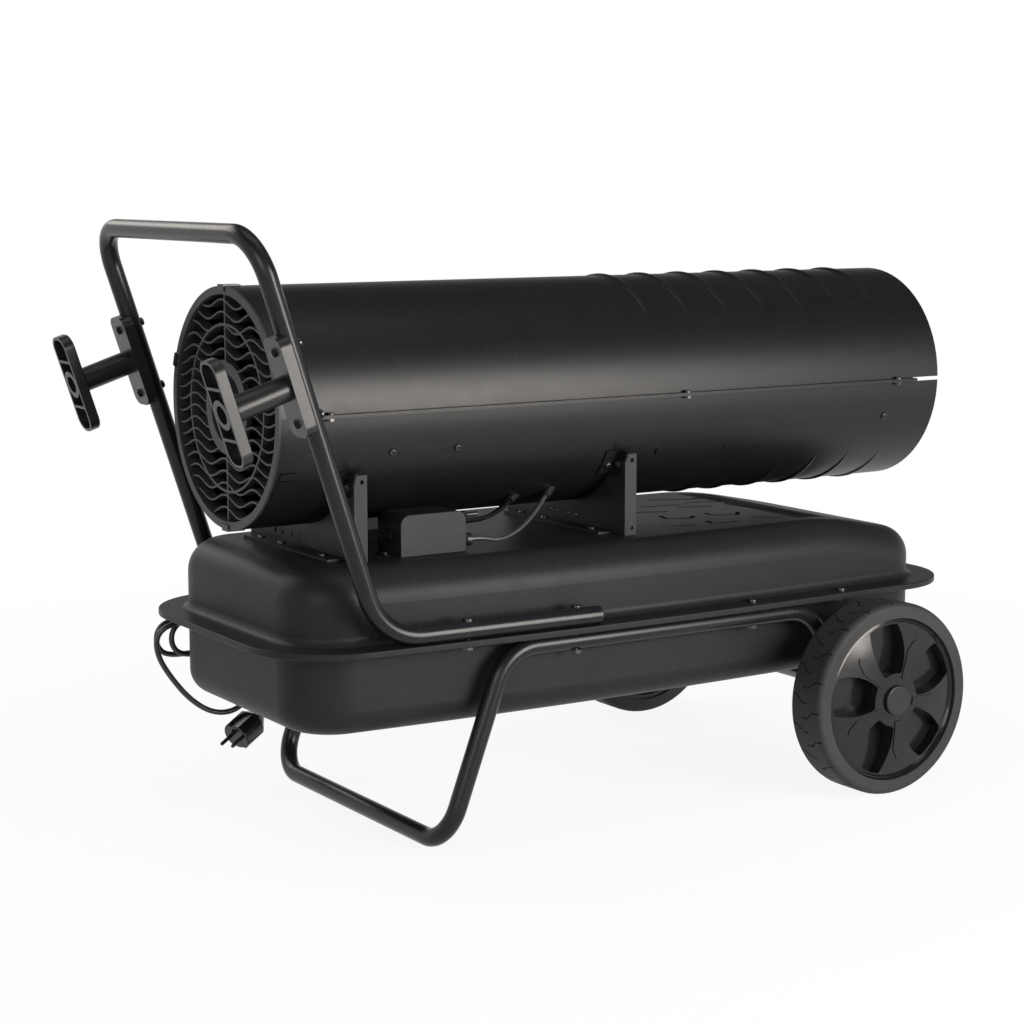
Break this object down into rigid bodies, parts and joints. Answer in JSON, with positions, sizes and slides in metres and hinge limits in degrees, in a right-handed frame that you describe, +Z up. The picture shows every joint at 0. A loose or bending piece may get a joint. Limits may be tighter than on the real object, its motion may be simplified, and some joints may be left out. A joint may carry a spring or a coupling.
{
  "type": "forced air heater",
  "caption": "Wheeled oil-fired forced air heater: round sheet-metal barrel on saddle brackets over a flanged tank, with tube handle, foot frame, wheels, cord hooks and mains cord.",
  "frame": {"origin": "middle of the heater's outline on the ground, without the mains cord", "axes": "+X along the barrel towards the hot-air outlet, +Y to the side with the controls, +Z up"},
  "size_m": [1.0992, 0.6002, 0.7232],
  "materials": {
    "tank_paint": "satin dark grey powder coat on pressed steel",
    "barrel_paint": "satin black powder coat on sheet and tube",
    "black_plastic": "matte black moulded plastic",
    "panel": "matte dark grey moulded panel",
    "hub_plastic": "semi-gloss black moulded plastic",
    "tyre_rubber": "matte dark solid rubber",
    "zinc": "dark zinc plating",
    "cord_rubber": "black cable sheath",
    "plug_plastic": "dark grey moulded plug with plated pins",
    "motor_iron": "dark painted castings",
    "alloy": "raw cast alloy",
    "steel": "bare steel sheet",
    "brass": "bare brass fittings",
    "strainer_plastic": "plain moulded strainer"
  },
  "bodies": {
    "heater": {"tank_upper_shell": "tank_paint", "tank_lower_shell": "tank_paint", "filler_neck": "tank_paint", "fuel_strainer": "strainer_plastic", "fuel_gauge": "black_plastic", "drain_plug": "zinc", "rear_bracket": "barrel_paint", "front_bracket": "barrel_paint", "bracket_ears": "zinc", "bracket_bolts": "zinc", "upper_barrel_shell": "barrel_paint", "lower_barrel_shell": "barrel_paint", "barrel_screws": "zinc", "inlet_grille": "black_plastic", "grille_clips": "zinc", "motor_body": "motor_iron", "motor_mount": "zinc", "pump_body": "alloy", "pump_end_cover": "alloy", "combustion_chamber": "steel", "chamber_supports": "zinc", "burner_head": "steel", "nozzle_adapter": "brass", "electrodes": "steel", "photocell": "brass", "fuel_line": "brass", "transformer_cover": "barrel_paint", "ignition_transformer": "motor_iron", "cable_glands": "black_plastic", "control_cable": "cord_rubber", "ignition_leads": "cord_rubber", "control_box": "barrel_paint", "control_panel": "panel", "strain_relief": "black_plastic", "mains_cord": "cord_rubber", "cord_hank": "cord_rubber", "cord_tie": "black_plastic", "mains_plug": "plug_plastic", "handle_tube": "barrel_paint", "handle_end_plugs": "black_plastic", "cord_hook_near": "black_plastic", "cord_hook_far": "black_plastic", "hook_bolts": "zinc", "frame_tube": "barrel_paint", "rim_bolts": "zinc", "axle": "zinc", "axle_spacers": "zinc", "axle_caps": "black_plastic"},
    "near_wheel": {"near_tyre": "tyre_rubber", "near_hub": "hub_plastic"},
    "far_wheel": {"far_tyre": "tyre_rubber", "far_hub": "hub_plastic"},
    "rotor": {"motor_shaft": "steel", "pump_rotor": "alloy", "fan": "alloy"},
    "seal": {"cap_gasket": "cord_rubber"},
    "cap": {"fuel_cap": "black_plastic"},
    "knob": {"thermostat_knob": "black_plastic"},
    "rocker": {"rocker_switch": "black_plastic"}
  },
  "joints": [
    {"name": "near_wheel_spin", "type": "hinge", "parent": "heater", "child": "near_wheel", "pos_m": [0.34962, -0.26325, 0.1227], "axis": [0, 1, 0], "continuous": true},
    {"name": "far_wheel_spin", "type": "hinge", "parent": "heater", "child": "far_wheel", "pos_m": [0.34962, 0.26325, 0.1227], "axis": [0, 1, 0], "continuous": true},
    {"name": "rotor_spin", "type": "hinge", "parent": "heater", "child": "rotor", "pos_m": [-0.16438, 0, 0.5075], "axis": [1, 0, 0], "continuous": true},
    {"name": "cap_lift", "type": "slide", "parent": "heater", "child": "seal", "axis": [0, 0, 1], "range_m": [0, 0.03]},
    {"name": "cap_turn", "type": "hinge", "parent": "seal", "child": "cap", "pos_m": [0.12162, 0.104, 0.336], "axis": [0, 0, 1], "range_deg": [0, 90]},
    {"name": "knob_turn", "type": "hinge", "parent": "heater", "child": "knob", "pos_m": [-0.23638, 0.136, 0.359], "axis": [0, 1, 0], "range_deg": [0, 270]},
    {"name": "switch_rock", "type": "hinge", "parent": "heater", "child": "rocker", "pos_m": [-0.18138, 0.138, 0.359], "axis": [-1, 0, 0], "range_deg": [0, 16]}
  ]
}
